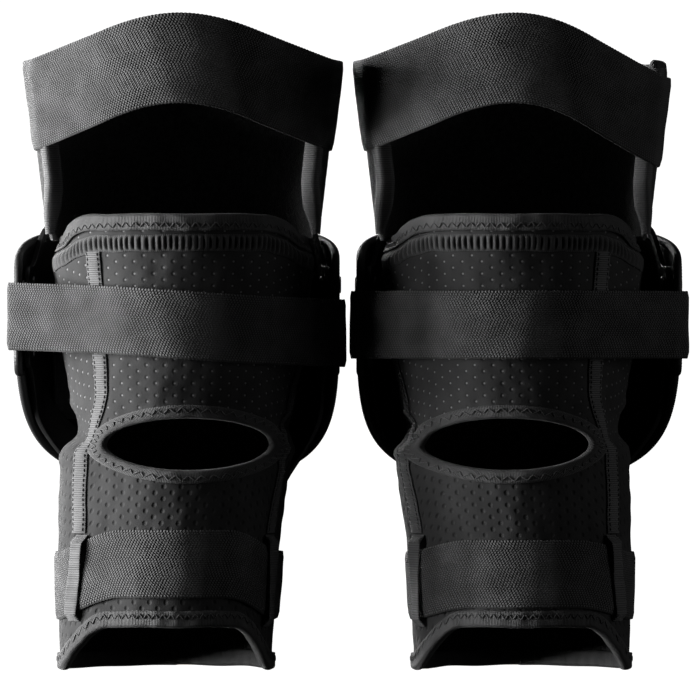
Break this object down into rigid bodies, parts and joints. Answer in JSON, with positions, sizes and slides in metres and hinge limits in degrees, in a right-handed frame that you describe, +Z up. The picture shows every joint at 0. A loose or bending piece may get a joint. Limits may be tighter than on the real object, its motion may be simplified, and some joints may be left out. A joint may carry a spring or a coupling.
{
  "type": "motorcycle knee guards",
  "caption": "Pair of hinged knee guards: hard knee cups, perforated neoprene sleeves with an oval opening behind the knee, padded thigh cuffs, shin plates and elastic straps.",
  "frame": {"origin": "midway between the two knees, at the height of the knee joint", "axes": "+X to the wearer's right, +Y to the front where the knee cups are, +Z up the leg"},
  "size_m": [0.4056, 0.1882, 0.3863],
  "materials": {
    "hard_shell": "satin",
    "foam": "matte",
    "rubber_trim": "matte",
    "neoprene": "matte",
    "webbing": "matte",
    "grosgrain": "matte",
    "loop_fabric": "matte",
    "hook_tab": "matte",
    "steel": "satin"
  },
  "bodies": {
    "left_thigh": {"left_thigh_shell": "hard_shell", "left_thigh_pad": "loop_fabric", "left_thigh_strap": "webbing"},
    "left_thigh_tab": {"left_thigh_strap_tab": "hook_tab"},
    "left_knee": {"left_knee_cup": "hard_shell", "left_cup_edge_trim": "rubber_trim", "left_knee_pad": "foam", "left_thigh_pivot_outer": "steel", "left_thigh_pivot_inner": "steel", "left_shin_pivot_outer": "steel", "left_shin_pivot_inner": "steel", "left_knee_strap": "webbing", "left_knee_strap_rivet": "steel", "left_cup_loop_patch": "loop_fabric", "left_sleeve_upper": "neoprene", "left_top_hem": "grosgrain", "left_gather_band": "webbing", "left_sleeve_flex": "neoprene", "left_opening_binding": "grosgrain", "left_seam_tape_outer": "grosgrain", "left_seam_tape_inner": "grosgrain"},
    "left_knee_tab": {"left_knee_strap_tab": "hook_tab"},
    "left_shin": {"left_sleeve_lower": "neoprene", "left_bottom_hem": "grosgrain", "left_shin_plate": "hard_shell", "left_shin_pad": "foam", "left_shin_strap": "webbing", "left_keeper_outer": "grosgrain", "left_keeper_inner": "grosgrain"},
    "left_shin_tab": {"left_shin_strap_tab": "hook_tab"},
    "right_thigh": {"right_thigh_shell": "hard_shell", "right_thigh_pad": "loop_fabric", "right_thigh_strap": "webbing"},
    "right_thigh_tab": {"right_thigh_strap_tab": "hook_tab"},
    "right_knee": {"right_knee_cup": "hard_shell", "right_cup_edge_trim": "rubber_trim", "right_knee_pad": "foam", "right_thigh_pivot_outer": "steel", "right_thigh_pivot_inner": "steel", "right_shin_pivot_outer": "steel", "right_shin_pivot_inner": "steel", "right_knee_strap": "webbing", "right_knee_strap_rivet": "steel", "right_cup_loop_patch": "loop_fabric", "right_sleeve_upper": "neoprene", "right_top_hem": "grosgrain", "right_gather_band": "webbing", "right_sleeve_flex": "neoprene", "right_opening_binding": "grosgrain", "right_seam_tape_outer": "grosgrain", "right_seam_tape_inner": "grosgrain"},
    "right_knee_tab": {"right_knee_strap_tab": "hook_tab"},
    "right_shin": {"right_sleeve_lower": "neoprene", "right_bottom_hem": "grosgrain", "right_shin_plate": "hard_shell", "right_shin_pad": "foam", "right_shin_strap": "webbing", "right_keeper_outer": "grosgrain", "right_keeper_inner": "grosgrain"},
    "right_shin_tab": {"right_shin_strap_tab": "hook_tab"}
  },
  "joints": [
    {"name": "right_guard_apart", "type": "slide", "parent": "left_knee", "child": "right_knee", "axis": [1, 0, 0], "range_m": [0, 0.2]},
    {"name": "left_thigh_hinge", "type": "hinge", "parent": "left_knee", "child": "left_thigh", "pos_m": [-0.102, 0.002, 0.086], "axis": [1, 0, 0], "range_deg": [0, 55]},
    {"name": "left_shin_hinge", "type": "hinge", "parent": "left_knee", "child": "left_shin", "pos_m": [-0.102, 0.002, 0.048], "axis": [-1, 0, 0], "range_deg": [0, 60], "deforming": ["left_sleeve_flex", "left_opening_binding", "left_seam_tape_outer", "left_seam_tape_inner"]},
    {"name": "left_thigh_tab_peel", "type": "hinge", "parent": "left_thigh", "child": "left_thigh_tab", "pos_m": [-0.1821, 0.0386, 0.193], "axis": [-0.109, 0.039, 0.9933], "range_deg": [0, 70]},
    {"name": "left_knee_tab_peel", "type": "hinge", "parent": "left_knee", "child": "left_knee_tab", "pos_m": [-0.19618, 0.03692, 0.067], "axis": [0, 0, 1], "range_deg": [0, 70]},
    {"name": "left_shin_tab_peel", "type": "hinge", "parent": "left_shin", "child": "left_shin_tab", "pos_m": [-0.16562, 0.01482, -0.093], "axis": [-0.0194, 0.1055, 0.9942], "range_deg": [0, 70]},
    {"name": "right_thigh_hinge", "type": "hinge", "parent": "right_knee", "child": "right_thigh", "pos_m": [0.102, 0.002, 0.086], "axis": [1, 0, 0], "range_deg": [0, 55]},
    {"name": "right_shin_hinge", "type": "hinge", "parent": "right_knee", "child": "right_shin", "pos_m": [0.102, 0.002, 0.048], "axis": [-1, 0, 0], "range_deg": [0, 60], "deforming": ["right_sleeve_flex", "right_opening_binding", "right_seam_tape_outer", "right_seam_tape_inner"]},
    {"name": "right_thigh_tab_peel", "type": "hinge", "parent": "right_thigh", "child": "right_thigh_tab", "pos_m": [0.18099, 0.0382, 0.183], "axis": [-0.109, -0.039, -0.9933], "range_deg": [0, 70]},
    {"name": "right_knee_tab_peel", "type": "hinge", "parent": "right_knee", "child": "right_knee_tab", "pos_m": [0.19618, 0.03692, 0.062], "axis": [0, 0, -1], "range_deg": [0, 70]},
    {"name": "right_shin_tab_peel", "type": "hinge", "parent": "right_shin", "child": "right_shin_tab", "pos_m": [0.16562, 0.01482, -0.093], "axis": [-0.0194, -0.1055, -0.9942], "range_deg": [0, 70]}
  ]
}
